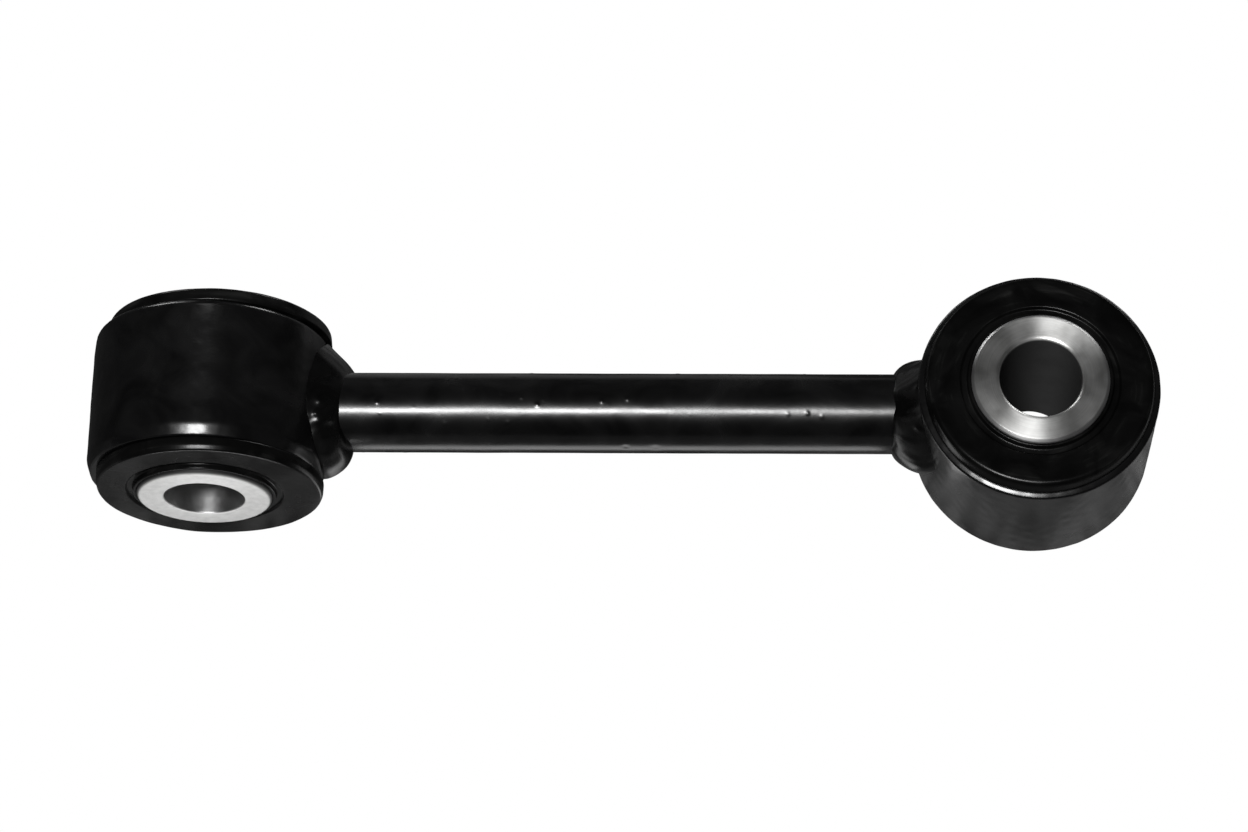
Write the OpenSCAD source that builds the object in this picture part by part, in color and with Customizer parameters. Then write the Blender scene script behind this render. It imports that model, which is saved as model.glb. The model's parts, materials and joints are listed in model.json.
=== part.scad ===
// Stabilizer link: a round bar welded between two ring eyes that stand square to each other.
// Each eye holds a rubber bush, and each bush holds a steel sleeve for the fixing bolt.
// Millimetres. The bar lies along X, and the origin is midway between the eyes.
// The bar eye, at -X, has its bolt axis along Y. The arm eye, at +X, has its bolt axis along Z.

/* [Link] */
// Distance between the centres of the two eyes
eye_spacing = 125.5; // [90:0.5:220]
// Diameter of the round bar
rod_d = 12; // [8:0.5:14]
// Turn of the arm eye against the bar eye, about the bar, in degrees
eye_turn = 90; // [0:15:90]

/* [Eye rings] */
// Outer diameter of each ring
eye_od = 36; // [32:0.5:60]
// Wall of each ring
eye_wall = 3; // [2:0.25:4.5]
// Length of each ring along its bolt axis
eye_len = 22; // [20:0.5:40]
// Rounding of the ring's outer edges
eye_edge_r = 1; // [0.3:0.1:1.2]
// Chamfer of the ring's inner edges
eye_inner_chamfer = 0.5; // [0.2:0.1:1]

/* [Rubber bushes] */
// How far each rubber collar stands out of the ring
collar_h = 2.2; // [1.6:0.1:4]
// How far each collar laps over the ring's end face
collar_lap = 2.2; // [1.4:0.1:2.4]
// How much narrower a collar is at its face than at the ring
collar_taper = 0.2; // [0.1:0.1:1]
// Rounding of the collar's outer edge
collar_edge_r = 0.6; // [0.3:0.1:0.8]
// Radius of the round groove in the collar's face, beside the sleeve
groove_r = 0.6; // [0.4:0.1:1]
// Width of the thin lip between that groove and the sleeve
lip_w = 0.5; // [0.3:0.1:0.8]
// How far the lip rises above the collar's face
lip_rise = 0.5; // [0.2:0.1:0.6]

/* [Sleeves] */
// Outer diameter of each sleeve
sleeve_od = 20.5; // [18:0.5:22]
// Length of each sleeve between its two seats
sleeve_len = 28.5; // [28.1:0.1:34]
// Bore of each sleeve
bore_d = 12.2; // [8.2:0.1:14.2]
// Chamfer at each mouth of the bore
bore_chamfer = 1; // [0.2:0.1:1.4]
// Chamfer of the sleeve's outer edges
sleeve_chamfer = 0.4; // [0.2:0.1:0.8]

/* [Welds] */
// Mean radius of the weld pool that is carried round the seam
weld_r = 3.3; // [2.4:0.1:4]
// How much the pool swells towards the ring's ends and shrinks at the ring's sides
weld_swell = 0.4; // [0:0.1:0.6]
// How far the pool's centre lies along the bar from the seam
weld_shift = 0.9; // [0.6:0.1:1.2]
// Distance between one weld ripple and the next
weld_pitch = 1.9; // [1.5:0.1:3]

/* [Fits] */
// Radial clearance between the rubber and the steel on each side of it
bond_gap = 0.05; // [0.02:0.01:0.1]

/* [Hidden] */
$fn = 96;
rod_r = rod_d / 2;
eye_r = eye_od / 2;
eye_bore_r = eye_r - eye_wall;
eye_half = eye_len / 2;
sleeve_r = sleeve_od / 2;
sleeve_half = sleeve_len / 2;
bore_r = bore_d / 2;
bush_inner_r = sleeve_r + bond_gap;
bush_outer_r = eye_bore_r - bond_gap;
collar_base_r = eye_bore_r + collar_lap;
collar_face_r = collar_base_r - collar_taper;
collar_base_z = eye_half + bond_gap;
collar_face_z = eye_half + collar_h;
lip_r = bush_inner_r + lip_w;
lip_foot_r = lip_r + lip_rise / 4;
lip_z = collar_face_z + lip_rise;
groove_centre_r = lip_r + groove_r;
weld_leg = weld_r + 3 * weld_swell;
weld_fit = min(1, (eye_half - rod_r) / weld_leg);
weld_ripples = round(2 * PI * (rod_r + weld_r / 2) / weld_pitch);

paint_black = "#0e0e0f";
weld_black = "#161617";
rubber_black = "#1d1d1e";
sleeve_steel = "#b4b6b8";

// Where a straight line from a point touches a circle, on the anticlockwise side
function tangent_point(from, centre, r) =
    let (v = from - centre)
    let (a = atan2(v[1], v[0]) + acos(r / norm(v)))
    centre + r * [cos(a), sin(a)];

// Points of a profile's upper half, outside first, followed by their mirror images
function mirrored_outline(upper) =
    concat(upper, [for (i = [len(upper) - 1 : -1 : 0]) [upper[i][0], -upper[i][1]]]);

// Places a shape drawn about Z at each eye, with the bar leaving along the shape's +X
module at_bar_eye() {
    translate([-eye_spacing / 2, 0, 0]) rotate([90, 0, 0]) children();
}

module at_arm_eye() {
    translate([eye_spacing / 2, 0, 0]) rotate([90 - eye_turn, 0, 0]) rotate([0, 0, 180]) children();
}

// Solid cylinder of the ring's outside, which the bar and the weld are cut to fit
module eye_outside() {
    cylinder(r = eye_r, h = 4 * eye_od, center = true);
}

// Ring of tube with rounded outer edges
module eye_ring() {
    flat_r = eye_r - eye_edge_r;
    flat_z = eye_half - eye_edge_r;
    rotate_extrude() union() {
        polygon(mirrored_outline([
            [eye_r, flat_z],
            [flat_r, eye_half],
            [eye_bore_r + eye_inner_chamfer, eye_half],
            [eye_bore_r, eye_half - eye_inner_chamfer],
        ]));
        for (side = [-1, 1]) translate([flat_r, side * flat_z]) circle(eye_edge_r);
    }
}

// Weld bead: one round ripple after another along the saddle-shaped seam of bar and ring.
// It is largest towards the ring's ends, and no larger than the ring's end allows.
module seam_weld() {
    difference() {
        for (i = [0 : weld_ripples - 1]) {
            a = 360 * i / weld_ripples;
            lean = weld_swell * cos(2 * a);
            seam_x = sqrt(pow(eye_r, 2) - pow(rod_r * sin(a), 2));
            pool_x = seam_x + weld_fit * (weld_shift - lean);
            pool_d = rod_r + weld_fit * (weld_swell + lean);
            // The ball's poles point along the seam, so that its neighbours cover them
            rotate([-a, 0, 0]) translate([pool_x, 0, pool_d])
                rotate([90, 135, 0]) sphere(weld_fit * (weld_r + lean));
        }
        rotate([0, 90, 0]) cylinder(r = rod_r, h = 2 * eye_od);
        eye_outside();
    }
}

// Rubber bush with a tapered collar at each end, and a groove and a lip round the sleeve in its face
module rubber_bush() {
    edge = [collar_face_r - collar_edge_r, collar_face_z - collar_edge_r];
    flank_top = tangent_point([collar_base_r, collar_base_z], edge, collar_edge_r);
    rotate_extrude() difference() {
        union() {
            polygon(mirrored_outline([
                [bush_outer_r, collar_base_z],
                [collar_base_r, collar_base_z],
                flank_top,
                [edge[0], collar_face_z],
                [lip_foot_r, collar_face_z],
                [lip_r, lip_z],
                [bush_inner_r, lip_z],
            ]));
            for (side = [-1, 1]) translate([edge[0], side * edge[1]]) circle(collar_edge_r);
        }
        for (side = [-1, 1]) translate([groove_centre_r, side * collar_face_z]) circle(groove_r);
    }
}

// Turned sleeve with its bolt bore and chamfered ends
module inner_sleeve() {
    rotate_extrude() polygon(mirrored_outline([
        [sleeve_r, sleeve_half - sleeve_chamfer],
        [sleeve_r - sleeve_chamfer, sleeve_half],
        [bore_r + bore_chamfer, sleeve_half],
        [bore_r, sleeve_half - bore_chamfer],
    ]));
}

// Round bar with both ends coped to the rings
module link_rod() {
    color(paint_black) difference() {
        rotate([0, 90, 0]) cylinder(r = rod_r, h = eye_spacing, center = true);
        at_bar_eye() eye_outside();
        at_arm_eye() eye_outside();
    }
}

module bar_eye_ring() { color(paint_black) at_bar_eye() eye_ring(); }
module bar_eye_weld() { color(weld_black) at_bar_eye() seam_weld(); }
module bar_eye_bush() { color(rubber_black) at_bar_eye() rubber_bush(); }
module bar_eye_sleeve() { color(sleeve_steel) at_bar_eye() inner_sleeve(); }
module arm_eye_ring() { color(paint_black) at_arm_eye() eye_ring(); }
module arm_eye_weld() { color(weld_black) at_arm_eye() seam_weld(); }
module arm_eye_bush() { color(rubber_black) at_arm_eye() rubber_bush(); }
module arm_eye_sleeve() { color(sleeve_steel) at_arm_eye() inner_sleeve(); }

link_rod();
bar_eye_ring();
bar_eye_weld();
bar_eye_bush();
bar_eye_sleeve();
arm_eye_ring();
arm_eye_weld();
arm_eye_bush();
arm_eye_sleeve();
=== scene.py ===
import json
import bpy
import numpy as np
from mathutils import Matrix, Vector


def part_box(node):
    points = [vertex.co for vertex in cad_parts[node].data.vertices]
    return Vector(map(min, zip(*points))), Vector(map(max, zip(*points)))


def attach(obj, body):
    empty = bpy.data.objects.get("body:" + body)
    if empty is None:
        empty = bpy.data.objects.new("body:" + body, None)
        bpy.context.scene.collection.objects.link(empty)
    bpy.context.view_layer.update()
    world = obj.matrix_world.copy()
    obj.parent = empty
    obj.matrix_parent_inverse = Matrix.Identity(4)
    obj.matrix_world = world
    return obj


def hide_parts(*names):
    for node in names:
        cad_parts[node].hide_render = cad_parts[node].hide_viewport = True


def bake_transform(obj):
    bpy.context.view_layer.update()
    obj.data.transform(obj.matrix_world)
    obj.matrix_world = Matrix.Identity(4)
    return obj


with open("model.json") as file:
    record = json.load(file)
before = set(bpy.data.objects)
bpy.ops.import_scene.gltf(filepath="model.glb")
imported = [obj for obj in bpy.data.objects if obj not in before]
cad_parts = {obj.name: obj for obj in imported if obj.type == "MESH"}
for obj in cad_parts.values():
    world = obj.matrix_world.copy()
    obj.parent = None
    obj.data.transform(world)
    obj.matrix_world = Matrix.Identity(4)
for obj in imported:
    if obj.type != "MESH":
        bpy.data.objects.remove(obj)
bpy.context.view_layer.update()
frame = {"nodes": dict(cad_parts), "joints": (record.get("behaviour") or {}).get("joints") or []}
mm = 0.001
print("stage: frame loaded")

# driving sizes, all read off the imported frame, in millimetres
joints = {j["name"]: j for j in frame["joints"]}


def nodePoints(node):  # every vertex of a CAD node, in millimetres
    vertices = frame["nodes"][node].data.vertices
    flat = np.zeros(3 * len(vertices))
    vertices.foreach_get("co", flat)
    return flat.reshape(-1, 3) / mm


def reach(node, centre, axis):  # smallest and largest radius about an axis, and half the length
    offset = nodePoints(node) - centre
    height = offset @ axis
    radius = np.linalg.norm(offset - np.outer(height, axis), axis=1)
    return radius.min(), radius.max(), np.abs(height).max()


def measureEye(name):
    twist = joints[name + "_sleeve_twist"]
    centre, axis = np.array(twist["pos_m"]) / mm, np.array(twist["axis"], float)
    along = np.array([-np.sign(centre[0]), 0.0, 0.0])  # towards the middle of the bar
    eye = {"name": name, "centre": centre, "axis": axis, "along": along, "side": np.cross(axis, along)}
    eye["ringBore"], eye["ringR"], eye["ringHalf"] = reach(name + "_eye_ring", centre, axis)
    eye["bushBore"], eye["collarR"], eye["lipTop"] = reach(name + "_eye_bush", centre, axis)
    eye["boreR"], eye["sleeveR"], eye["sleeveHalf"] = reach(name + "_eye_sleeve", centre, axis)
    return eye


eyes = {name: measureEye(name) for name in ("bar", "arm")}
rodLow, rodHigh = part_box("link_rod")
rodR = (rodHigh.y - rodLow.y) / 2 / mm


# mesh helpers
arcStep = 0.16  # largest turn between two points of a rounded corner, in radians


def surfaceMesh(name, grid, loopRows, poles=None, uvName=None):
    # grid of points, rows by columns; columns always close on themselves, rows close if loopRows,
    # and otherwise a pole point closes each end with a fan
    rows, columns = grid.shape[:2]
    r = np.arange(rows if loopRows else rows - 1)[:, None]
    c = np.arange(columns)[None, :]
    here, over = r * columns + c, r * columns + (c + 1) % columns
    nextHere = ((r + 1) % rows) * columns + c
    nextOver = ((r + 1) % rows) * columns + (c + 1) % columns
    quads = np.stack([here, over, nextOver, nextHere], -1).reshape(-1, 4)
    points = grid.reshape(-1, 3)
    fans = np.zeros((0, 3), int)
    if poles is not None:
        around = np.arange(columns)
        first, last = rows * columns, rows * columns + 1
        edge = (rows - 1) * columns
        fanIn = np.stack([np.full(columns, first), (around + 1) % columns, around], -1)
        fanOut = np.stack([np.full(columns, last), edge + around, edge + (around + 1) % columns], -1)
        fans = np.vstack([fanIn, fanOut])
        points = np.vstack([points, poles])
    corner = points[quads]
    volume = np.einsum("ij,ij->i", corner[:, 0], np.cross(corner[:, 1], corner[:, 2])).sum()
    volume += np.einsum("ij,ij->i", corner[:, 0], np.cross(corner[:, 2], corner[:, 3])).sum()
    uv = np.stack(np.broadcast_arrays(
        np.stack([c, c + 1, c + 1, c], -1) / columns,
        np.stack([r, r, r + 1, r + 1], -1) / rows), -1).reshape(-1, 4, 2)
    if volume < 0:  # keep faces outward
        quads, fans, uv = quads[:, ::-1], fans[:, ::-1], uv[:, ::-1]
    mesh = bpy.data.meshes.new(name)
    mesh.from_pydata((points * mm).tolist(), [], quads.tolist() + fans.tolist())
    mesh.polygons.foreach_set("use_smooth", np.ones(len(mesh.polygons), bool))
    if uvName:
        mesh.uv_layers.new(name=uvName).data.foreach_set("uv", uv.astype(np.float32).ravel())
    mesh.update()
    piece = bpy.data.objects.new(name, mesh)
    bpy.context.scene.collection.objects.link(piece)
    return piece


def roundedLoop(corners, step):
    # closed outline through corners (r, z, fillet): each corner becomes an arc of its fillet radius,
    # tangent to both sides, and the straights between are split into lengths of about step
    spot = np.array([(c[0], c[1]) for c in corners], float)
    fillet = np.array([c[2] for c in corners], float)
    back = np.roll(spot, 1, 0) - spot
    on = np.roll(spot, -1, 0) - spot
    back /= np.linalg.norm(back, axis=1)[:, None]
    on /= np.linalg.norm(on, axis=1)[:, None]
    half = np.arccos(np.clip((back * on).sum(1), -1, 1)) / 2
    start = spot + back * (fillet / np.tan(half))[:, None]
    end = spot + on * (fillet / np.tan(half))[:, None]
    middle = (back + on) / np.linalg.norm(back + on, axis=1)[:, None]
    centre = spot + middle * (fillet / np.sin(half))[:, None]
    runs = []
    for i in range(len(corners)):
        sweep = np.pi - 2 * half[i]
        t = np.linspace(0, 1, max(4, int(sweep / arcStep)))[:, None]
        arc = np.sin((1 - t) * sweep) * (start[i] - centre[i]) + np.sin(t * sweep) * (end[i] - centre[i])
        runs.append(centre[i] + arc / np.sin(sweep))
        target = start[(i + 1) % len(corners)]
        parts = max(1, int(np.linalg.norm(target - end[i]) / step))
        runs.append(end[i] + (target - end[i]) * (np.arange(1, parts) / parts)[:, None])
    return np.vstack(runs)


def revolve(eye, loop, around, lift=None):
    # the outline carried round the eye's axis: point = centre + r cos(a) along + r sin(a) side + z axis,
    # moved along the outline's own normal by lift(a, r, z)
    slope = np.roll(loop, -1, 0) - np.roll(loop, 1, 0)
    slope /= np.linalg.norm(slope, axis=1)[:, None]
    angle = 2 * np.pi * np.arange(around)[None, :] / around
    r, z = loop[:, :1], loop[:, 1:]
    offset = lift(angle, r, z) if lift else np.zeros((len(loop), around))
    r = r + offset * slope[:, 1:]
    z = z - offset * slope[:, :1]
    return (eye["centre"] + (r * np.cos(angle))[..., None] * eye["along"]
            + (r * np.sin(angle))[..., None] * eye["side"] + z[..., None] * eye["axis"])


def waves(spot, seed, shortest, longest, count=28):
    # sum of cosines in random directions, with wavelengths between shortest and longest, unit spread
    rng = np.random.default_rng(seed)
    direction = rng.normal(size=(count, spot.shape[-1]))
    direction /= np.linalg.norm(direction, axis=1)[:, None]
    number = 2 * np.pi / rng.uniform(shortest, longest, (count, 1))
    start = rng.uniform(0, 2 * np.pi, count)
    return np.cos(spot @ (direction * number).T + start).sum(-1) / np.sqrt(count / 2)


def smooth(t):  # eases from 0 to 1
    t = np.clip(t, 0, 1)
    return t * t * (3 - 2 * t)


# materials
noiseSpan = (0.3, 0.7)  # where most of a noise's values lie


def newMaterial(name):
    material = bpy.data.materials.new(name)
    material.use_nodes = True
    tree = material.node_tree
    return material, tree, tree.nodes["Principled BSDF"]


def addNode(tree, kind, inputs=None, **settings):
    node = tree.nodes.new(kind)
    for key, value in settings.items():
        setattr(node, key, value)
    for key, value in (inputs or {}).items():
        node.inputs[key].default_value = value
    return node


def noiseOn(tree, vector, scale, detail=3.0, roughness=0.5, smear=0.0):  # scale in features per metre
    noise = addNode(tree, "ShaderNodeTexNoise", {"Scale": scale, "Detail": detail, "Roughness": roughness,
                                                 "Distortion": smear})
    tree.links.new(vector, noise.inputs["Vector"])
    return noise.outputs["Fac"]


def remap(tree, value, span, low, high):  # low at the start of the span, high at its end
    node = addNode(tree, "ShaderNodeMapRange", {1: span[0], 2: span[1], 3: low, 4: high})
    tree.links.new(value, node.inputs[0])
    return node.outputs[0]


def mixColour(tree, fac, dark, light):
    node = addNode(tree, "ShaderNodeMix", data_type="RGBA")
    node.inputs[6].default_value = (*dark, 1)
    node.inputs[7].default_value = (*light, 1)
    tree.links.new(fac, node.inputs[0])
    return node.outputs[2]


def bumpFrom(tree, height, distance, before=None):
    node = addNode(tree, "ShaderNodeBump", {"Strength": 1.0, "Distance": distance})
    tree.links.new(height, node.inputs["Height"])
    if before is not None:
        tree.links.new(before, node.inputs["Normal"])
    return node.outputs["Normal"]


def paintMaterial(name, look):
    material, tree, shader = newMaterial(name)
    place = addNode(tree, "ShaderNodeTexCoord").outputs["Object"]
    cloud = noiseOn(tree, place, look["cloud"], detail=4, smear=look["smear"])
    peel = noiseOn(tree, place, look["peel"], detail=2)
    grain = noiseOn(tree, place, look["grain"], detail=2)
    colour = mixColour(tree, remap(tree, cloud, look["cloudSpan"], 0, 1), look["dark"], look["light"])
    tree.links.new(colour, shader.inputs["Base Color"])
    rough = remap(tree, cloud, noiseSpan, look["glossy"], look["dull"])
    tree.links.new(rough, shader.inputs["Roughness"])
    normal = bumpFrom(tree, peel, look["peelDepth"])
    normal = bumpFrom(tree, grain, look["grainDepth"], normal)
    tree.links.new(normal, shader.inputs["Normal"])
    shader.inputs["Specular IOR Level"].default_value = look["shine"]
    return material


blackPaint = paintMaterial("blackPaint", {
    "dark": (0.0014, 0.0014, 0.0015), "light": (0.0048, 0.0048, 0.0049),
    "glossy": 0.21, "dull": 0.28, "shine": 0.5,
    "cloud": 110.0, "cloudSpan": (0.35, 0.7), "smear": 1.4, "peel": 700.0, "peelDepth": 0.010 * mm,
    "grain": 4200.0, "grainDepth": 0.003 * mm})
weldPaint = paintMaterial("weldPaint", {
    "dark": (0.0012, 0.0012, 0.0012), "light": (0.004, 0.004, 0.004),
    "glossy": 0.22, "dull": 0.34, "shine": 0.35,
    "cloud": 260.0, "cloudSpan": (0.35, 0.7), "smear": 0.6, "peel": 900.0, "peelDepth": 0.014 * mm,
    "grain": 4200.0, "grainDepth": 0.003 * mm})


def rubberMaterial(name, look):
    # near-black rubber with a cloudy bloom, and pale scuffs that run round the collar
    # (map u round, v across)
    material, tree, shader = newMaterial(name)
    place = addNode(tree, "ShaderNodeTexCoord").outputs["Object"]
    bloom = noiseOn(tree, place, look["bloom"], detail=5, smear=look["smear"])
    grain = noiseOn(tree, place, look["grain"])
    onPiece = addNode(tree, "ShaderNodeUVMap", uv_map=look["map"]).outputs["UV"]
    stretch = addNode(tree, "ShaderNodeMapping")
    stretch.inputs["Scale"].default_value = look["scuffStretch"]
    tree.links.new(onPiece, stretch.inputs["Vector"])
    scuff = noiseOn(tree, stretch.outputs["Vector"], 1.0, detail=4, roughness=0.6)
    patch = addNode(tree, "ShaderNodeMath", operation="MULTIPLY")
    tree.links.new(remap(tree, scuff, look["scuffSpan"], 0, 1), patch.inputs[0])
    tree.links.new(remap(tree, bloom, look["patchSpan"], 0, 1), patch.inputs[1])
    shade = addNode(tree, "ShaderNodeMath", operation="ADD")
    tree.links.new(remap(tree, bloom, look["bloomSpan"], 0, look["bloomShare"]), shade.inputs[0])
    tree.links.new(patch.outputs[0], shade.inputs[1])
    colour = mixColour(tree, shade.outputs[0], look["dark"], look["light"])
    tree.links.new(colour, shader.inputs["Base Color"])
    rough = remap(tree, bloom, noiseSpan, look["glossy"], look["dull"])
    tree.links.new(rough, shader.inputs["Roughness"])
    tree.links.new(bumpFrom(tree, grain, look["grainDepth"]), shader.inputs["Normal"])
    shader.inputs["Specular IOR Level"].default_value = look["shine"]
    return material


bushRubber = rubberMaterial("bushRubber", {
    "map": "round", "scuffStretch": (9.0, 90.0, 1.0), "scuffSpan": (0.52, 0.72), "patchSpan": (0.45, 0.6),
    "dark": (0.0018, 0.0018, 0.0018), "light": (0.014, 0.014, 0.0137),
    "glossy": 0.20, "dull": 0.30, "shine": 0.17,
    "bloom": 150.0, "smear": 0.8, "bloomSpan": (0.35, 0.7), "bloomShare": 0.3,
    "grain": 2600.0, "grainDepth": 0.010 * mm})


def sleeveMaterial(name, look):
    # turned steel: fine rings at even radius, read off the piece's own map (u round, v across),
    # and painted shade in the bore and on the outer chamfer beside the rubber, placed by the piece's own
    # attributes
    material, tree, shader = newMaterial(name)
    place = addNode(tree, "ShaderNodeTexCoord").outputs["Object"]
    onPiece = addNode(tree, "ShaderNodeUVMap", uv_map=look["map"]).outputs["UV"]
    stretch = addNode(tree, "ShaderNodeMapping")
    stretch.inputs["Scale"].default_value = look["ringStretch"]
    tree.links.new(onPiece, stretch.inputs["Vector"])
    rings = noiseOn(tree, stretch.outputs["Vector"], 1.0, roughness=0.6)
    stain = noiseOn(tree, place, look["stain"], detail=5)
    shade = addNode(tree, "ShaderNodeMath", operation="ADD")
    tree.links.new(remap(tree, rings, noiseSpan, -look["ringShare"], look["ringShare"]), shade.inputs[0])
    tree.links.new(remap(tree, stain, noiseSpan, 0, 1), shade.inputs[1])
    face = mixColour(tree, shade.outputs[0], look["dark"], look["light"])
    # painted shade: the bore and the outer chamfer get a darker colour laid over the face
    inBore = addNode(tree, "ShaderNodeAttribute", attribute_name="inBore").outputs["Fac"]
    onEdge = addNode(tree, "ShaderNodeAttribute", attribute_name="onEdge").outputs["Fac"]
    for share, paintedShadeKey in ((inBore, "bore"), (onEdge, "edge")):
        layer = addNode(tree, "ShaderNodeMix", data_type="RGBA")
        layer.inputs[7].default_value = (*look[paintedShadeKey], 1)
        tree.links.new(share, layer.inputs[0])
        tree.links.new(face, layer.inputs[6])
        face = layer.outputs[2]
    tree.links.new(face, shader.inputs["Base Color"])
    rough = addNode(tree, "ShaderNodeMath", operation="MULTIPLY_ADD", inputs={1: look["boreDuller"]})
    tree.links.new(inBore, rough.inputs[0])
    tree.links.new(remap(tree, stain, noiseSpan, look["glossy"], look["dull"]), rough.inputs[2])
    tree.links.new(rough.outputs[0], shader.inputs["Roughness"])
    tree.links.new(bumpFrom(tree, rings, look["ringDepth"]), shader.inputs["Normal"])
    shader.inputs["Metallic"].default_value = look["metal"]
    if look["boreMetal"] != look["metal"]:
        metal = remap(tree, inBore, (0, 1), look["metal"], look["boreMetal"])
        tree.links.new(metal, shader.inputs["Metallic"])
    shader.inputs["Anisotropic"].default_value = look["anisotropy"]
    shader.inputs["Anisotropic Rotation"].default_value = look["grainTurn"]
    tangent = addNode(tree, "ShaderNodeTangent", direction_type="UV_MAP", uv_map=look["map"])
    tree.links.new(tangent.outputs["Tangent"], shader.inputs["Tangent"])
    return material


# grainTurn: a quarter turn lets the highlight run across the turned rings
turnedSteel = sleeveMaterial("turnedSteel", {
    "map": "turned", "ringStretch": (3.0, 420.0, 1.0), "ringDepth": 0.006 * mm, "ringShare": 0.25,
    "stain": 220.0, "metal": 1.0, "boreMetal": 1.0, "boreDuller": 0.35,
    # bore and edge are painted shade: darker colours for the bore and the outer chamfer
    "dark": (0.50, 0.50, 0.49), "light": (0.74, 0.74, 0.73), "bore": (0.04, 0.04, 0.04),
    "edge": (0.45, 0.45, 0.45), "glossy": 0.36, "dull": 0.48, "anisotropy": 0.75, "grainTurn": 0.25})
paleZinc = sleeveMaterial("paleZinc", {
    "map": "turned", "ringStretch": (6.0, 420.0, 1.0), "ringDepth": 0.004 * mm, "ringShare": 0.25,
    "stain": 900.0, "metal": 0.25, "boreMetal": 1.0, "boreDuller": -0.2,
    # bore and edge are painted shade: darker colours for the bore and the outer chamfer
    "dark": (0.84, 0.84, 0.83), "light": (0.98, 0.98, 0.97), "bore": (0.42, 0.42, 0.42),
    "edge": (0.02, 0.02, 0.02), "glossy": 0.55, "dull": 0.65, "anisotropy": 0.45, "grainTurn": 0.25})
print("stage: materials")


# pieces

def settle(piece, node, body, material):  # stands for a CAD node and moves with its body
    piece.data.materials.append(material)
    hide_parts(node)
    if body:
        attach(piece, body)


# specks and dents that show: place along the bar in mm, angle round it in degrees from +Y, width, height
rodLook = {"rows": 548, "around": 176, "capRows": 8, "coat": 0.06,
           "wave": 0.006, "waveLengths": (5, 14), "waveSeed": 5,
           "nibs": 70, "nibReach": 44, "nibSeed": 11, "nibWidth": (0.16, 0.34), "nibHeight": (0.015, 0.05),
           "specks": [(-36.6, 97.5, 0.22, 0.09), (-23.5, 79.0, 0.22, 0.10), (-21.8, 77.5, 0.20, 0.09),
                      (-17.9, 82.5, 0.22, 0.10), (-14.8, 89.5, 0.24, 0.10), (-12.4, 100.5, 0.26, 0.11),
                      (-2.7, 95.0, 0.28, 0.10), (1.2, 91.5, 0.30, 0.12), (28.3, 112.0, 0.24, 0.09),
                      (0.9, 170.0, 0.45, -0.09), (5.4, 172.0, 0.6, -0.08)]}


def rodSurface(look):
    # round bar along X: radius rodR + lift, ends at each ring's outside, x = eye + sqrt(ringR^2 - d^2),
    # with d the distance from the plane of the ring's axis and the bar's;
    # rows run pole, cap, bar, cap, pole
    bar, arm = eyes["bar"], eyes["arm"]
    angle = 2 * np.pi * np.arange(look["around"])[None, :] / look["around"]
    cap = np.arange(1, look["capRows"])[:, None] / look["capRows"]
    t = np.linspace(0, 1, look["rows"])[:, None]
    radius = np.vstack([cap, np.ones_like(t), cap[::-1]]) * rodR
    share = np.vstack([0 * cap, t, 0 * cap + 1])
    y, z = radius * np.cos(angle), radius * np.sin(angle)
    start = bar["centre"][0] + np.sqrt(bar["ringR"] ** 2 - z ** 2)
    finish = arm["centre"][0] - np.sqrt(arm["ringR"] ** 2 - y ** 2)
    x = start + share * (finish - start)
    rng = np.random.default_rng(look["nibSeed"])
    nibs = np.stack([rng.uniform(-look["nibReach"], look["nibReach"], look["nibs"]),
                     rng.uniform(0, 360, look["nibs"]),
                     rng.uniform(*look["nibWidth"], look["nibs"]),
                     rng.uniform(*look["nibHeight"], look["nibs"])], -1)
    nibX, nibA, nibW, nibH = np.vstack([nibs, look["specks"]]).T
    turn = np.angle(np.exp(1j * (angle[..., None] - np.radians(nibA))))
    away = ((x[..., None] - nibX) ** 2 + (rodR * turn) ** 2) / nibW ** 2
    wave = look["wave"] * waves(np.stack([x, y, z], -1), look["waveSeed"], *look["waveLengths"])
    lift = look["coat"] + (nibH * np.exp(-away)).sum(-1) + wave
    lift *= radius == rodR  # the caps stay bare
    grid = np.stack([x, y * (1 + lift / rodR), z * (1 + lift / rodR)], -1)
    poles = np.array([[bar["centre"][0] + bar["ringR"], 0, 0], [arm["centre"][0] - arm["ringR"], 0, 0]])
    return grid, poles


rodGrid, rodPoles = rodSurface(rodLook)
rodPiece = surfaceMesh("linkBar", rodGrid, False, rodPoles)
settle(rodPiece, "link_rod", "link", blackPaint)
print("stage: bar")

# edges: corners of the outer edge at the -axis and the +axis end, each as depth below the wall,
# distance from the ring's end, and rounding
ringLook = {"edges": {"bar": ([(0.62, 0.0, 0.35), (0.0, 1.8, 2.5)], [(0.0, 3.2, 25.0), (0.2, 0.0, 1.0)]),
                      "arm": ([(0.0, 0.0, 0.4)], [(0.0, 0.29, 0.4), (0.8, 0.0, 0.7)])},
            "innerEdge": 0.4, "step": 0.3, "around": 320, "seeds": {"bar": (21, 71), "arm": (22, 72)},
            "wave": 0.012, "waveLengths": (5, 16), "dimple": 0.007, "dimpleLengths": (1.3, 3.5)}


def ringLoop(eye, look):  # tube wall with rounded inner edges and bevelled or rounded outer ones
    bore, outer, half = eye["ringBore"], eye["ringR"], eye["ringHalf"]
    low, high = look["edges"][eye["name"]]
    corners = [(bore, -half, look["innerEdge"])]
    corners += [(outer - depth, inset - half, fillet) for depth, inset, fillet in low]
    corners += [(outer - depth, half - inset, fillet) for depth, inset, fillet in high]
    return roundedLoop(corners + [(bore, half, look["innerEdge"])], look["step"])


def wavyLift(look, name):  # slow waves of the wall and fine dimples of its skin
    waveSeed, dimpleSeed = look["seeds"][name]

    def lift(angle, r, z):
        spot = np.stack(np.broadcast_arrays(r * np.cos(angle), r * np.sin(angle), z), -1)
        slow = look["wave"] * waves(spot, waveSeed, *look["waveLengths"])
        return slow + look["dimple"] * waves(spot, dimpleSeed, *look["dimpleLengths"])
    return lift


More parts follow.
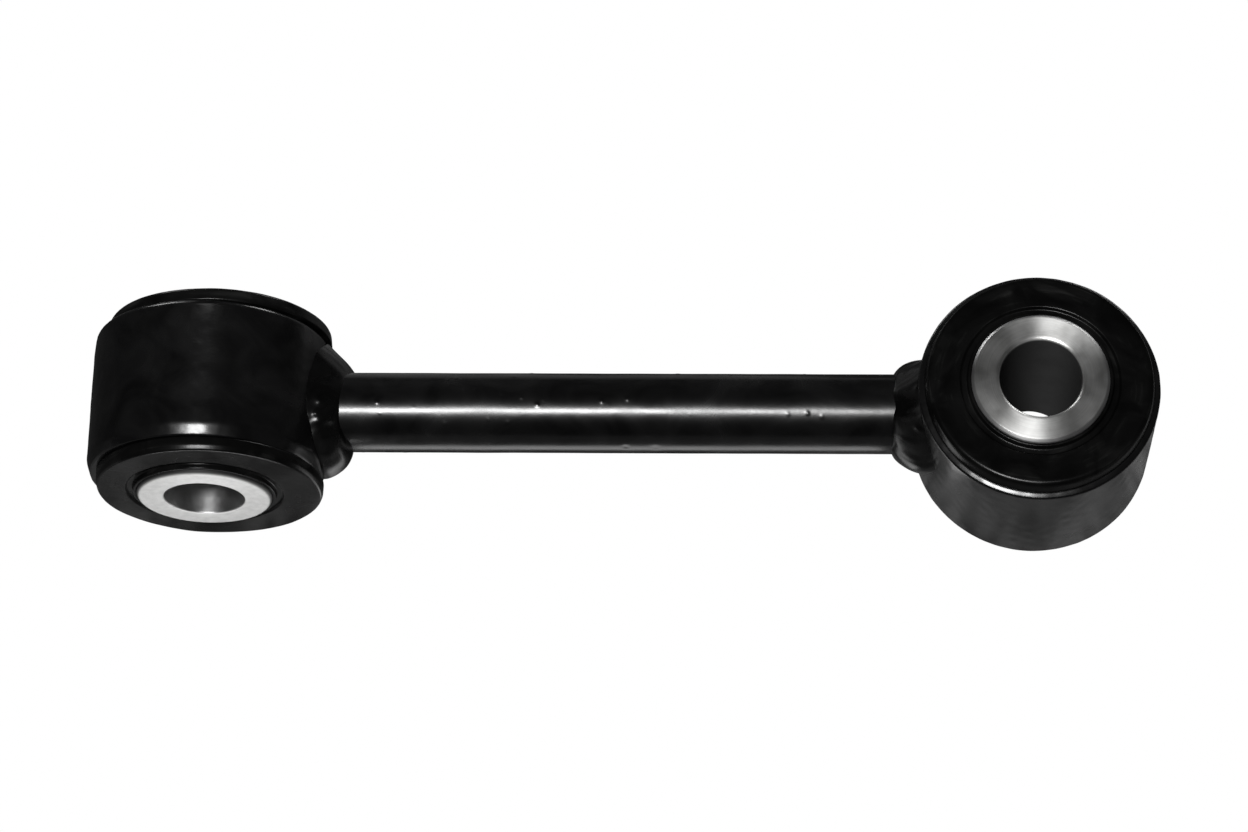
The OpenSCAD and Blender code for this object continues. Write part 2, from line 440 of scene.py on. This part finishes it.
for name, eye in eyes.items():
    grid = revolve(eye, ringLoop(eye, ringLook), ringLook["around"], wavyLift(ringLook, name))
    ringPiece = surfaceMesh(name + "EyeRing", grid, True)
    settle(ringPiece, name + "_eye_ring", "link", blackPaint)
print("stage: rings")

# each size round the bar is (mean, cos a, sin a, cos 2a), with a = 0 along the eye's axis;
# lumps are angle round the bar in degrees, share of the way from the bar to the ring, width, height
weldLook = {"around": 420, "across": 48, "peak": 0.75, "sink": 0.4, "meanR": 8.0, "fadeIn": 4.0,
            "wander": 0.15, "wanderLengths": (4, 12),
            "lump": 0.06, "lumpLengths": (2.5, 7), "lumpSpread": 4.0,
            "ripples": 25, "ripple": 0.02, "rippleBow": 1.2, "rippleStray": 0.4,
            "bar": {"seeds": (31, 32, 33), "onBar": (3.70, 0.30, 0.0, 0.32),
                    "onRing": (3.65, 0.15, 0.0, 0.85), "round": (0.28, -0.32, 0.0, 0.12),
                    "lumps": [(259.6, 0.42, 0.9, 0.65), (240.0, 0.43, 1.1, 0.7), (247.0, 0.62, 0.5, 0.35),
                              (277.0, 0.55, 1.1, 0.45), (205.0, 0.55, 0.8, 0.2), (300.0, 0.6, 0.9, -0.15),
                              (110.0, 0.6, 0.8, 0.25)]},
            "arm": {"seeds": (32, 33, 34), "onBar": (4.0, 0.0, 0.05, -0.6),
                    "onRing": (3.44, 0.0, 0.43, 0.76), "round": (0.45, 0.0, 0.0, -0.45),
                    "lumps": [(36.9, 0.77, 0.35, 0.16), (0.0, 0.9, 0.35, 0.14), (330.0, 0.5, 0.9, 0.15),
                              (75.0, 0.4, 0.9, 0.18), (160.0, 0.6, 0.8, 0.2), (230.0, 0.6, 0.8, 0.2)]}}


def weldSurface(eye, look):
    # bead over the saddle seam: at angle a round the bar, u off the ring and v off the bar, with
    # s = peak (1 - cos t) the share from bar to ring, u = onBar (1 - s), and v = onRing times a mix of
    # s, a flat fillet, and sin t, a round bead; ripples and lumps lift v, and the rows close underneath;
    # a point at r = rodR + v lies at x = sqrt(ringR^2 - (r sin a)^2) + u, so the bead follows the ring
    own = look[eye["name"]]
    a = 2 * np.pi * np.arange(look["around"])[None, :] / look["around"]
    t = np.linspace(0, np.arccos(1 - 1 / look["peak"]), look["across"])[:, None]
    rim = np.stack([np.cos(a), np.sin(a)], -1)

    def sizeRound(values):
        mean, one, other, two = values
        return mean + one * np.cos(a) + other * np.sin(a) + two * np.cos(2 * a)

    meanR = look["meanR"]
    barSeed, ringSeed, lumpSeed = own["seeds"]
    wander = waves(rim * meanR, barSeed, *look["wanderLengths"])
    otherWander = waves(rim * meanR, ringSeed, *look["wanderLengths"])
    onBar = sizeRound(own["onBar"]) + look["wander"] * wander
    onRing = sizeRound(own["onRing"]) + look["wander"] * otherWander
    convex = np.clip(sizeRound(own["round"]), 0, 1)
    s = look["peak"] * (1 - np.cos(t))
    phase = look["ripples"] * a / (2 * np.pi) + look["rippleStray"] * wander
    phase = phase + look["rippleBow"] * (s - 0.5) ** 2  # each ripple bows in the middle of the bead
    spot = np.stack(np.broadcast_arrays(meanR * np.cos(a), meanR * np.sin(a), look["lumpSpread"] * s), -1)
    swell = look["ripple"] * np.cos(2 * np.pi * phase)
    swell = swell + look["lump"] * waves(spot, lumpSeed, *look["lumpLengths"])
    lumpA, lumpS, lumpW, lumpH = np.array(own["lumps"]).T
    turn = np.angle(np.exp(1j * (a[..., None] - np.radians(lumpA))))
    away = ((meanR * turn) ** 2 + (onBar[..., None] * (s[..., None] - lumpS)) ** 2) / lumpW ** 2
    swell = (swell + (lumpH * np.exp(-away)).sum(-1)) * smooth(look["fadeIn"] * s)
    u = onBar * (1 - s)
    v = onRing * (s + (np.sin(t) - s) * convex) + swell
    foot, tip = np.full_like(a, -look["sink"]), v[-1:]
    u = np.vstack([u[:1], u, foot, foot])
    v = np.vstack([foot, v, tip, foot])
    r = rodR + v
    x = np.sqrt(eye["ringR"] ** 2 - (r * np.sin(a)) ** 2) + u
    return (eye["centre"] + x[..., None] * eye["along"] + (r * np.sin(a))[..., None] * eye["side"]
            + (r * np.cos(a))[..., None] * eye["axis"])


for name, eye in eyes.items():
    weldPiece = surfaceMesh(name + "EyeWeld", weldSurface(eye, weldLook), True)
    settle(weldPiece, name + "_eye_weld", "link", weldPaint)
print("stage: welds")

# edges: corners of the collar's outer edge at the -axis and the +axis end, each as depth below the flank,
# distance from the face, and rounding; pull: how far the collar's rim leans towards the bar at those ends
bushLook = {"step": 0.25, "around": 256, "seeds": {"bar": (41, 91), "arm": (42, 92)}, "footGap": 0.05,
            "lip": 0.5, "lipRise": 0.5, "lipFoot": 0.05,
            "groove": 1.2, "grooveDepth": 0.45, "grooveLean": 0.3,
            "fillet": {"barrel": 0.2, "collar": 0.25, "groove": 0.25, "lip": 0.18, "bore": 0.12},
            "wave": 0.02, "waveLengths": (5, 16), "dimple": 0.003, "dimpleLengths": (1.3, 3.5),
            "edges": {"bar": ([(0.05, 0.8, 1.0), (0.32, 0.0, 0.35)], [(0.2, 0.0, 0.6)]),
                      "arm": ([(0.5, 0.0, 0.9)], [(0.5, 0.0, 0.9)])},
            "pull": {"bar": (0.7, 1.0), "arm": (0.0, 0.0)}}


def bushLoop(eye, look):
    # barrel inside the ring, tapered collar outside it, then face, groove and lip beside the sleeve
    bore, top = eye["bushBore"], eye["lipTop"]
    face = top - look["lipRise"]
    barrel, foot = eye["ringBore"] - look["footGap"], eye["ringHalf"] + look["footGap"]
    lipR = bore + look["lip"]
    grooveR = lipR + look["groove"]
    floor = face - look["grooveDepth"]
    soft = look["fillet"]
    groove = [(grooveR, face, soft["groove"]), (grooveR - look["grooveLean"], floor, soft["groove"]),
              (lipR + look["lipFoot"], floor, soft["groove"]),
              (lipR, top, soft["lip"]), (bore, top, soft["bore"])]

    def endOutline(edges):
        rim = [(eye["collarR"] - depth, face - inset, fillet) for depth, inset, fillet in edges]
        return [(barrel, foot, soft["barrel"]), (eye["collarR"], foot, soft["collar"])] + rim + groove

    low, high = look["edges"][eye["name"]]
    upper = endOutline(high)
    lower = [(r, -z, fillet) for r, z, fillet in endOutline(low)[::-1]]
    return roundedLoop(upper + lower, look["step"])


def pullRims(eye, grid, look):  # each collar's rim slides towards the bar, nothing inside the ring moves
    offset = grid - eye["centre"]
    height = offset @ eye["axis"]
    radius = np.linalg.norm(offset - height[..., None] * eye["axis"], axis=-1)
    share = smooth((radius - eye["ringBore"]) / (eye["collarR"] - eye["ringBore"]))
    low, high = look["pull"][eye["name"]]
    amount = np.where(height > 0, high, low)
    return grid + (share * amount)[..., None] * eye["along"]


for name, eye in eyes.items():
    grid = revolve(eye, bushLoop(eye, bushLook), bushLook["around"], wavyLift(bushLook, name))
    grid = pullRims(eye, grid, bushLook)
    bushPiece = surfaceMesh(name + "EyeBush", grid, True, uvName="round")
    settle(bushPiece, name + "_eye_bush", None, bushRubber)
    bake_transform(bushPiece)
print("stage: bushes")

# mouth: rounding of the bore's mouths at the -axis and the +axis end;
# boreFade: how steeply the painted shade in the bore sets in over that rounding, and how far out;
# edgeFade: how far in from the outside the painted shade on the outer chamfer sets in, as a share of the
# chamfer
sleeveLook = {"step": 0.2, "around": 256, "mouth": {"bar": (0.3, 0.3), "arm": (1.4, 0.6)},
              "outerChamfer": 0.4, "break": 0.08, "boreFade": (2.2, 0.45), "edgeFade": 1.3}


def sleeveLoop(eye, look):  # turned tube with rounded bore mouths and chamfered outer edges
    bore, outer, half = eye["boreR"], eye["sleeveR"], eye["sleeveHalf"]
    edge, soft = look["outerChamfer"], look["break"]
    low, high = look["mouth"][eye["name"]]
    upper = [(outer, half - edge, soft), (outer - edge, half, soft), (bore, half, high)]
    lower = [(bore, -half, low), (outer - edge, -half, soft), (outer, edge - half, soft)]
    return roundedLoop(upper + lower, look["step"])


# shares of the painted shade in the bore and on the outer chamfer
def shadeShares(eye, grid, look):  # 1 in the bore, fading over its mouths, and 1 on the outside
    offset = grid.reshape(-1, 3) - eye["centre"]
    height = offset @ eye["axis"]
    radius = np.linalg.norm(offset - np.outer(height, eye["axis"]), axis=1)
    mouth = np.where(height < 0, *look["mouth"][eye["name"]])
    steep, out = look["boreFade"]
    inBore = smooth(steep * ((eye["boreR"] - radius) / mouth + out))
    onEdge = smooth((radius - eye["sleeveR"]) / look["outerChamfer"] + look["edgeFade"])
    return {"inBore": inBore, "onEdge": onEdge}


for name, finish in (("bar", paleZinc), ("arm", turnedSteel)):
    grid = revolve(eyes[name], sleeveLoop(eyes[name], sleeveLook), sleeveLook["around"])
    sleevePiece = surfaceMesh(name + "EyeSleeve", grid, True, uvName="turned")
    for label, share in shadeShares(eyes[name], grid, sleeveLook).items():
        layer = sleevePiece.data.attributes.new(label, "FLOAT", "POINT")
        layer.data.foreach_set("value", share.astype(np.float32))
    settle(sleevePiece, name + "_eye_sleeve", name + "_sleeve", finish)
print("stage: sleeves")


# studio

# the camera sees a pale floor; the part sees a dark, mottled one, which is paler in front of it, over
# frontSpan in y, and in round spots: x, y, reach where it is full, reach where it is gone, all in mm,
# and share; a share of 0 is a dark spot
floorLook = {"size": 4.0, "seen": (1.0, 1.0, 1.0), "dark": (0.04, 0.04, 0.04), "pale": (0.40, 0.40, 0.40),
             "mottle": 130.0, "mottleSmear": 1.0, "mottleSpan": (0.35, 0.65), "mottleShare": (0.2, 1.3),
             "roughness": 0.9, "frontSpan": (-16 * mm, -6 * mm), "frontShare": 0.45,
             "spots": [(80.0, -12.0, 30.0, 55.0, 1.0),
                       (-30.0, 52.0, 20.0, 32.0, 1.0), (8.0, 56.0, 20.0, 28.0, 1.0),
                       (-20.0, 110.0, 40.0, 52.0, 1.0), (15.0, 115.0, 40.0, 52.0, 1.0),
                       (-77.0, -19.0, 8.0, 16.0, 1.0), (-48.0, -19.0, 8.0, 16.0, 1.0),
                       (-62.5, 36.0, 18.0, 30.0, 1.0), (75.0, 32.0, 10.0, 18.0, 1.0),
                       (-68.0, -30.0, 6.0, 12.0, 0.0), (-58.0, -30.0, 6.0, 12.0, 0.0)]}


def restingPlane():
    # slope of the plane through the bar ring's underside and the arm sleeve's lowest outer rim,
    # and its height at x = 0
    bar, arm = eyes["bar"], eyes["arm"]
    rimX = arm["centre"][0] + arm["sleeveR"] - sleeveLook["outerChamfer"]
    slope = np.arctan2(bar["ringR"] - arm["sleeveHalf"], rimX - bar["centre"][0])
    return slope, -bar["ringR"] / np.cos(slope) - bar["centre"][0] * np.tan(slope)


floorSlope, floorMiddle = restingPlane()


def onFloor(x, y, lift=0.0):  # place on the floor, or lift above it, in metres
    return Vector((x, y, floorMiddle + x * np.tan(floorSlope) + lift)) * mm


def paleShare(tree, place, look):  # how pale the floor is to the part, from 0 to 1, and mottled
    split = addNode(tree, "ShaderNodeSeparateXYZ")
    tree.links.new(place, split.inputs[0])
    pale = remap(tree, split.outputs["Y"], look["frontSpan"], look["frontShare"], 0)
    for x, y, full, gone, share in look["spots"]:
        away = addNode(tree, "ShaderNodeVectorMath", operation="DISTANCE")
        away.inputs[1].default_value = onFloor(x, y)
        tree.links.new(place, away.inputs[0])
        spot = remap(tree, away.outputs["Value"], (full * mm, gone * mm), share, 0 if share else 1)
        joined = addNode(tree, "ShaderNodeMath", operation="MAXIMUM" if share else "MINIMUM")
        tree.links.new(pale, joined.inputs[0])
        tree.links.new(spot, joined.inputs[1])
        pale = joined.outputs[0]
    noise = noiseOn(tree, place, look["mottle"], smear=look["mottleSmear"])
    mottled = addNode(tree, "ShaderNodeMath", operation="MULTIPLY")
    tree.links.new(pale, mottled.inputs[0])
    tree.links.new(remap(tree, noise, look["mottleSpan"], *look["mottleShare"]), mottled.inputs[1])
    return mottled.outputs[0]


def floorMaterial(look):
    material, tree, shader = newMaterial("paleFloor")
    place = addNode(tree, "ShaderNodeTexCoord").outputs["Object"]
    colour = mixColour(tree, paleShare(tree, place, look), look["dark"], look["pale"])
    tree.links.new(colour, shader.inputs["Base Color"])
    shader.inputs["Roughness"].default_value = look["roughness"]
    shader.inputs["Specular IOR Level"].default_value = 0.0
    glow = addNode(tree, "ShaderNodeEmission")
    glow.inputs["Color"].default_value = (*look["seen"], 1)
    path = addNode(tree, "ShaderNodeLightPath")
    mix = addNode(tree, "ShaderNodeMixShader")
    tree.links.new(path.outputs["Is Camera Ray"], mix.inputs[0])
    tree.links.new(shader.outputs[0], mix.inputs[1])
    tree.links.new(glow.outputs[0], mix.inputs[2])
    tree.links.new(mix.outputs[0], tree.nodes["Material Output"].inputs["Surface"])
    return material


def layFloor(look):  # square plane about the place where the bar ring rests
    bar = eyes["bar"]
    touch = onFloor(bar["centre"][0] + bar["ringR"] * np.sin(floorSlope), 0)
    across = Vector((np.cos(floorSlope), 0, np.sin(floorSlope))) * look["size"] / 2
    inward = Vector((0, look["size"] / 2, 0))
    corners = [touch + sx * across + sy * inward for sx, sy in ((-1, -1), (1, -1), (1, 1), (-1, 1))]
    mesh = bpy.data.meshes.new("paleFloor")
    mesh.from_pydata([tuple(c) for c in corners], [], [(0, 1, 2, 3)])
    mesh.materials.append(floorMaterial(look))
    floor = bpy.data.objects.new("paleFloor", mesh)
    bpy.context.scene.collection.objects.link(floor)


layFloor(floorLook)

# focal length, image width and shifts in pixels, the size of a pixel at the part in mm, angles in degrees
cameraLook = {"focal": 3930.0, "imageWidth": 1248.0, "pixel": 0.152, "right": 3.26, "down": 2.58,
              "pitch": 22.83, "yaw": -1.97, "roll": 0.19, "sensor": 36.0, "clip": (0.01, 20)}


def cameraAxes(look):
    # camera 90 - pitch degrees above the floor on the -Y side, then yawed and rolled
    lift = np.radians(90 - look["pitch"])
    yaw, roll = np.radians(look["yaw"]), np.radians(look["roll"])
    back = np.array([0, -np.cos(lift), np.sin(lift)])
    right = np.array([1.0, 0, 0])
    up = np.cross(back, right)
    right, back = right * np.cos(yaw) + back * np.sin(yaw), back * np.cos(yaw) - right * np.sin(yaw)
    right, up = right * np.cos(roll) + up * np.sin(roll), up * np.cos(roll) - right * np.sin(roll)
    return right, up, back


def placeCamera(look):
    right, up, back = cameraAxes(look)
    far = look["focal"] * look["pixel"] * back
    spot = far + look["pixel"] * (look["right"] * right - look["down"] * up)
    data = bpy.data.cameras.new("studioCamera")
    data.sensor_fit = "HORIZONTAL"
    data.sensor_width = look["sensor"]
    data.lens = look["focal"] * look["sensor"] / look["imageWidth"]
    data.clip_start, data.clip_end = look["clip"]
    camera = bpy.data.objects.new("studioCamera", data)
    turn = Matrix([[*row] for row in np.stack([right, up, back], 1)]).to_4x4()
    camera.matrix_world = Matrix.Translation(Vector(spot * mm)) @ turn
    bpy.context.scene.collection.objects.link(camera)
    bpy.context.scene.camera = camera
    return right, up, back


cameraRight, cameraUp, cameraBack = placeCamera(cameraLook)

backLit = ("linkBar", "barEyeRing", "armEyeRing", "barEyeBush", "barEyeSleeve", "armEyeSleeve")
lightLook = [
    # name, degrees above and to the right of the camera, distance in metres, width, height, power,
    # and the pieces that it reaches, if not all
    ("keyBox", 6.8, -9.0, 1.80, 0.50, 0.26, 27.0, ()),
    ("backLeft", 105.0, -33.0, 1.50, 0.50, 0.24, 4.5, backLit),
    ("backRight", 105.0, 33.0, 1.50, 0.50, 0.24, 4.5, backLit),
    ("topPanel", 57.5, -5.0, 1.03, 0.19, 0.12, 0.19, ("barEyeRing",)),
]
stripLook = [
    # name, from and to along the bar, near and far edge in y, height above the floor, all in mm, power
    ("barStrip", -42.0, 40.0, -25.0, -14.0, 0.6, 0.0056),
    ("eyeStrip", -80.0, -47.0, -54.0, -38.0, 0.6, 0.0115),
]


def areaLight(name, width, height, power, matrix):  # soft box that the camera doesn't see
    data = bpy.data.lights.new(name, "AREA")
    data.shape = "RECTANGLE"
    data.size, data.size_y, data.energy = width, height, power
    light = bpy.data.objects.new(name, data)
    light.matrix_world = matrix
    light.visible_camera = False
    bpy.context.scene.collection.objects.link(light)
    return light


def placeLight(name, above, beside, distance, width, height, power, reached):
    # turned to the middle of the part, with its long side across the view
    rise, swing = np.radians(above), np.radians(beside)
    towards = cameraBack * np.cos(rise) * np.cos(swing) + cameraUp * np.sin(rise)
    towards = Vector(towards + cameraRight * np.sin(swing)).normalized()
    side = Vector(cameraRight).cross(towards).normalized()
    across = side.cross(towards).normalized()
    turn = Matrix((across, side, towards)).transposed().to_4x4()
    light = areaLight(name, width, height, power, Matrix.Translation(towards * distance) @ turn)
    if reached:
        lit = bpy.data.collections.new(name + "Lit")
        for piece in reached:
            lit.objects.link(bpy.data.objects[piece])
        light.light_linking.receiver_collection = lit


def placeStrip(name, start, end, near, far, lift, power):  # narrow light lying on the floor, facing up
    turn = Matrix.Rotation(-floorSlope, 4, "Y") @ Matrix.Rotation(np.pi, 4, "X")
    spot = onFloor((start + end) / 2, (near + far) / 2, lift)
    areaLight(name, (end - start) * mm, (far - near) * mm, power, Matrix.Translation(spot) @ turn)


for one in lightLook:
    placeLight(*one)
for one in stripLook:
    placeStrip(*one)

worldLook = {"seen": (0.92, 0.92, 0.92), "room": (0.03, 0.03, 0.03)}


def paintWorld(look):  # pale backdrop to the eye, dim room in the reflections
    world = bpy.data.worlds.new("studioRoom")
    bpy.context.scene.world = world
    world.use_nodes = True
    tree = world.node_tree
    background = tree.nodes["Background"]
    path = addNode(tree, "ShaderNodeLightPath")
    tree.links.new(mixColour(tree, path.outputs["Is Camera Ray"], look["room"], look["seen"]),
                   background.inputs["Color"])


paintWorld(worldLook)
bpy.context.scene.view_settings.view_transform = "Standard"
print("stage: studio")
